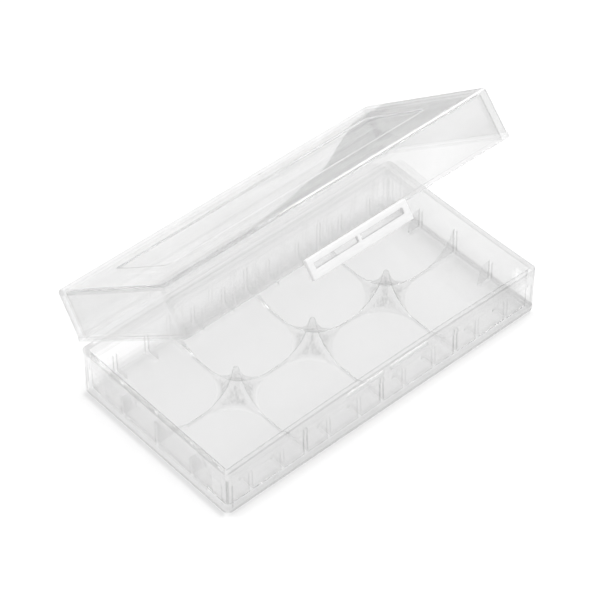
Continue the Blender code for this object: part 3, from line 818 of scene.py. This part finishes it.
def lidPaint(shader, place):
    # painted shade along the edges and the label field's outline, the moulding gate's ring and dot, and a painted
    # highlight on the front top edge
    spread, within, largest, size, at = shader.spread, shader.within, shader.largest, shader.size, lidMarks
    x, y, z = shader.parts(place)
    alongX, alongY, upward = shader.facing(shut=True)
    notBack, leftPart, rightPart = spread(y, *at["notBack"]), spread(x, *at["left"]), spread(x, *at["right"])
    topLevel = spread(z, *at["top"])
    # the top's level faces, painted a little darker all over
    top = topLevel * spread(upward, *at["topFacing"])
    # a painted dark band along the top edges, darker at the left
    edge = within(z, *at["edge"]) * spread(upward, *at["edgeFacing"]) * notBack
    edgeShade = edge * spread(leftPart, 0, 1, paint["lidEdge"] / 3, paint["lidEdge"])
    edgeShade = largest(edgeShade, top * leftPart * spread(y, *at["edgeTop"]) * paint["lidEdgeTop"])
    # painted dark lines on the band and the rim
    lines = (within(z, *at["bandLine"]) + within(z, *at["rimLine"])) * spread(upward, *at["lineFacing"])
    lines = lines * notBack * spread(x, *at["lineEnd"])
    # painted shade on rounded edges
    lean = shader.leaning(upward) * largest(notBack, spread(z, *at["leanLevel"]))
    lean = lean * (1 - within(z, *at["leanGap"]))
    corner = spread(alongX * alongY, *rounded)
    darkCorner = corner * largest(spread(x, 0, 1), spread(y, 0, 1))
    u = size(x - lid["labelX"]) - (lid["labelHalfLength"] - lid["labelRadius"])
    v = size(y - lid["labelY"]) - (lid["labelHalfWidth"] - lid["labelRadius"])
    outside = shader.apart(shader.maths("MAXIMUM", u, 0.0), shader.maths("MAXIMUM", v, 0.0)) \
        + shader.maths("MINIMUM", shader.maths("MAXIMUM", u, v), 0.0) - lid["labelRadius"]
    # the label field's outline: painted shade on its left part and a painted highlight on its right
    label = within(outside, *at["labelLine"]) + within(outside, *at["labelInnerLine"]) * at["labelInnerShare"]
    label = label * topLevel
    labelShade = label * (1 - rightPart) * spread(x, *at["labelEnd"], paint["labelBack"], paint["labelEnd"])
    # the moulding gate's ring and dot, marks of the part itself
    fromRing = shader.apart(x - at["ringPlace"][0], y - at["ringPlace"][1])
    fromDot = shader.apart(x - at["dotPlace"][0], y - at["dotPlace"][1])
    # a painted highlight along the front top edge, right of the left part
    light = (1 - leftPart) * spread(y, *at["light"]) * spread(z, *at["lightLevel"])
    # the front and left end faces and the corners painted darker
    face = spread(alongY, *turned) * spread(y, *at["front"])
    leftEnd = spread(alongX, *turned) * spread(x, *at["leftEnd"])
    # painted shade together with the gate's ring and dot: the strongest wins
    shadeAndMarks = largest(lean * paint["lidLeaning"], edgeShade, lines * paint["lidLines"], top * paint["lidTop"],
                  labelShade, within(fromRing, *at["ring"]) * top * paint["ring"],
                  spread(fromDot, *at["dot"]) * top * paint["dot"],
                  face * spread(x, *at["frontFade"]) * paint["lidFront"],
                  face * spread(x, *at["side"]) * paint["lidSide"], leftEnd * paint["lidEnd"],
                  darkCorner * paint["lidDarkCorner"], corner * paint["lidCorner"])
    land = spread(y, *at["land"]) * spread(z, *at["landLevel"]) * paint["quietLand"]
    band = spread(z, *at["band"]) * notBack * spread(x, *at["bandEnd"], paint["quietBand"], paint["quietLand"])
    quiet = largest(land, band, (corner - darkCorner) * paint["quietLidCorner"],
                    face * spread(z, *at["low"]) * paint["quietLow"], edge * leftPart * paint["quietEdge"])
    paintedHighlight = largest(light * paint["highlightEdge"], label * rightPart * paint["highlightLabel"])
    return shadeAndMarks * (1 - light), quiet * (1 - light), paintedHighlight, 0.0


def clearPlastic(name, roughnesses, waviness, passing, painter, shut=False):
    # clear moulded plastic: roughness drifts with slow noise, two soft noises ripple the faces, painted shade darkens
    # (with the lid's moulding marks), quiet lets light pass straight on, and a painted highlight whitens
    shader = Shader(bpy.data.materials.new(name))
    place = shader.place(shut)
    shadeAndMarks, quiet, paintedHighlight, block = painter(shader, place)
    roughness = shader.spread(shader.noise(place, *plastic["cloud"]), *plastic["noiseRange"], *roughnesses)
    wave = shader.noise(place, *plastic["slowWave"]) * plastic["slowShare"] \
        + shader.noise(place, *plastic["quickWave"]) * plastic["quickShare"]
    bump = shader.node("Bump", inputs={"Strength": waviness, "Distance": mm, "Height": wave})
    skin = shader.node("BsdfPrincipled", inputs={
        "Base Color": plastic["colour"], "Roughness": roughness, "IOR": plastic["ior"],
        "Transmission Weight": plastic["clearness"], "Normal": bump,
        "Coat Weight": 1.0, "Coat Roughness": plastic["glossRoughness"], "Coat IOR": plastic["glossIor"]})
    if paintedHighlight:
        highlightWhite = shader.node("BsdfPrincipled", inputs={
            "Base Color": clearColour, "Roughness": plastic["highlightRoughness"], "Normal": bump})
        # a white layer mixed in where a highlight is painted
        skin = shader.mixed(paintedHighlight, skin, highlightWhite)
    dark = shader.film(blackColour)
    seen = shader.mixed(plastic["straight"], skin, shader.film(plastic["bareColour"]))
    # painted shade, and on the lid the gate's marks: a share of each ray taken by a black film
    seen = shader.mixed(shadeAndMarks, shader.mixed(quiet, seen, shader.film(clearColour)), dark)
    passed = shader.mixed(block, shader.film(passing), dark)
    haze = shader.node("VolumeAbsorption", inputs={"Color": blackColour, "Density": plastic["haze"]})
    return shader.finished(Surface=shader.mixed(shader.lightPassing(), seen, passed), Volume=haze)


def frostedPlastic(name):
    # the same plastic with a fine drawn grain: noise stretched along the tongue, and painted shade inside its slots
    shader = Shader(bpy.data.materials.new(name))
    place = shader.place(shut=True)
    grain = shader.noise(shader.stretched(place, plastic["grainStretch"]), *plastic["grain"])
    roughness, shade = (shader.spread(grain, *plastic["noiseRange"], *plastic[ends])
                        for ends in ("frostRoughness", "frostShades"))
    bump = shader.node("Bump", inputs={
        "Strength": plastic["grainStrength"], "Distance": plastic["grainDepth"] * mm, "Height": grain})
    skin = shader.node("BsdfPrincipled", inputs={
        "Base Color": shade, "Roughness": roughness, "IOR": plastic["ior"],
        "Transmission Weight": plastic["frostClearness"], "Normal": bump})
    x, _, z = shader.parts(place)
    alongX, alongY, _ = shader.facing(shut=True)
    margin, (acrossRamp, alongRamp) = plastic["slotMargin"], plastic["slotFacing"]
    inSlot = shader.within(z, latch["bottom"] + margin, latch["top"] - margin) \
        * shader.spread(shader.size(x), *(latch["halfWidth"] - d for d in plastic["slotEnd"])) \
        * shader.spread(alongY, *acrossRamp) * shader.spread(alongX, *alongRamp)
    # painted shade on the slots' inner faces
    skin = shader.mixed(inSlot * plastic["slotShade"], skin, shader.film(blackColour))
    return shader.finished(Surface=shader.mixed(shader.lightPassing(), skin, shader.film(plastic["frostPassing"])))


trayPlastic = clearPlastic("clearTray", plastic["trayRoughness"], plastic["trayWaviness"], plastic["trayPassing"],
                           trayPaint)
lidPlastic = clearPlastic("clearLid", plastic["lidRoughness"], plastic["lidWaviness"], plastic["lidPassing"],
                          lidPaint, shut=True)
trayShell.data.materials.append(trayPlastic)
hingeStrip.data.materials.append(trayPlastic)
lidShell.data.materials.append(lidPlastic)
latchFrame.data.materials.append(frostedPlastic("frostedLatch"))
print("materials made")


studio = {
    "floorSize": 6000,
    "floorLevel": -0.02,
    "floorGlow": 0.22,
    "floorGlowBySkin": 0.2,
    "skyBySkin": 0.97,
    "floorColour": 0.8,
    "lamps": (
        # place, target, size and power
        ((370, 60, 800), (0, 0, 10), 300, 2.8),
        ((-250, 650, 700), (0, 0, 10), 250, 1.2),
        ((-50, -600, 600), (0, 0, 20), 300, 1.1),
    ),
    "cardXs": (34, 180),
    "cardNear": ((34, 88), (40, 86), (47, 84), (55, 80), (57, 76), (59, 70.5), (61, 69), (70, 68.5), (180, 68)),
    "cardFar": 200,
    "cardLevel": 1.0,
    "cardLines": (61, 13),
    "cardShades": (0.4, 0.6),
    "sky": 0.6,
}


def makeFloor():
    # a flat square whose colour shows the shadows, with a glow for the camera, mirrors and clear plastic
    half = studio["floorSize"] / 2
    line = np.linspace(-half, half, 3)
    x, y = np.meshgrid(line, line)
    points = np.stack([x, y, np.full_like(x, studio["floorLevel"])], -1).reshape(-1, 3)
    floor = meshPiece("floor", points, gridFaces(np.arange(9).reshape(3, 3)))
    shader = Shader(bpy.data.materials.new("paleFloor"))
    shade = studio["floorColour"]
    mat = shader.node("BsdfDiffuse", inputs={"Color": (shade, shade, shade, 1)})
    seen = shader.node("LightPath", output="Is Camera Ray")
    strength = seen * studio["floorGlow"] + shader.bySkin() * studio["floorGlowBySkin"]
    glow = shader.node("Emission", inputs={"Strength": strength})
    surface = shader.node("AddShader", inputs={0: mat, 1: glow})
    floor.data.materials.append(shader.finished(Surface=surface))


def makeCard():
    # a grey card behind the case, seen only as the dark patch that it leaves in the shine of the lid's top
    linesAlong, linesAcross = studio["cardLines"]
    x = np.linspace(*studio["cardXs"], linesAlong)
    near = np.interp(x, *zip(*studio["cardNear"]))
    share = np.linspace(0, 1, linesAcross)[:, None]
    y = near + (studio["cardFar"] - near) * share
    points = np.stack([np.broadcast_to(x, y.shape), y, np.full_like(y, studio["cardLevel"])], -1).reshape(-1, 3)
    card = meshPiece("greyCard", points, gridFaces(np.arange(y.size).reshape(y.shape)))
    shader = Shader(bpy.data.materials.new("cardGrey"))
    across = shader.parts(shader.place())[0]
    shade = shader.spread(across, *studio["cardXs"], *studio["cardShades"])
    glow = shader.node("Emission", inputs={"Color": shade, "Strength": 1.0})
    card.data.materials.append(shader.finished(Surface=glow))
    for kind in ("camera", "diffuse", "transmission", "shadow", "volume_scatter"):
        setattr(card, f"visible_{kind}", False)


def makeSky():
    # an even sky: white to the camera, nearly white in mirrors and clear plastic, and dimmer as a lamp
    world = bpy.data.worlds.new("studioSky")
    bpy.context.scene.world = world
    shader = Shader(world)
    strength = shader.bySkin() * (studio["skyBySkin"] - studio["sky"]) + studio["sky"]
    seen = shader.node("LightPath", output="Is Camera Ray")
    strength = strength + (1 - strength) * seen
    back = shader.node("Background", inputs={"Color": (1, 1, 1, 1), "Strength": strength})
    shader.node("OutputWorld", inputs={"Surface": back})


def addLamp(number, place, target, size, power):
    # a square soft box that faces its target
    lamp = bpy.data.lights.new(f"softbox{number}", "AREA")
    lamp.shape, lamp.size, lamp.energy = "SQUARE", size * mm, power
    holder = bpy.data.objects.new(lamp.name, lamp)
    bpy.context.scene.collection.objects.link(holder)
    holder.location = Vector(place) * mm
    holder.rotation_euler = (Vector(target) - Vector(place)).to_track_quat("-Z", "Y").to_euler()


makeFloor()
makeCard()
makeSky()
for number, lampValues in enumerate(studio["lamps"]):
    addLamp(number, *lampValues)
print("studio made")


view = {"azimuth": -41.77, "elevation": 45.37, "distance": 465.37, "target": (-0.925, 2.363, 11.692), "lens": 153.234,
        "sensor": 36, "clip": (0.01, 20), "bounces": 24, "clearLayers": 32}

camera = bpy.data.objects.new("camera", bpy.data.cameras.new("camera"))
bpy.context.scene.collection.objects.link(camera)
bpy.context.scene.camera = camera
azimuth, elevation = math.radians(view["azimuth"]), math.radians(view["elevation"])
backward = Vector((math.sin(azimuth) * math.cos(elevation), -math.cos(azimuth) * math.cos(elevation),
                   math.sin(elevation)))
camera.location = (Vector(view["target"]) + backward * view["distance"]) * mm
camera.rotation_euler = backward.to_track_quat("Z", "Y").to_euler()
camera.data.sensor_width, camera.data.lens = view["sensor"], view["lens"]
camera.data.clip_start, camera.data.clip_end = view["clip"]

scene = bpy.context.scene
scene.view_settings.view_transform = "Standard"
scene.cycles.max_bounces = view["bounces"]
scene.cycles.transmission_bounces = view["bounces"]
scene.cycles.glossy_bounces = view["bounces"]  # light that is turned back inside an edge counts as glossy
scene.cycles.transparent_max_bounces = view["clearLayers"]
scene.cycles.caustics_refractive = False  # the clear plastic already lets the lamps through to what lies behind it
scene.cycles.caustics_reflective = False
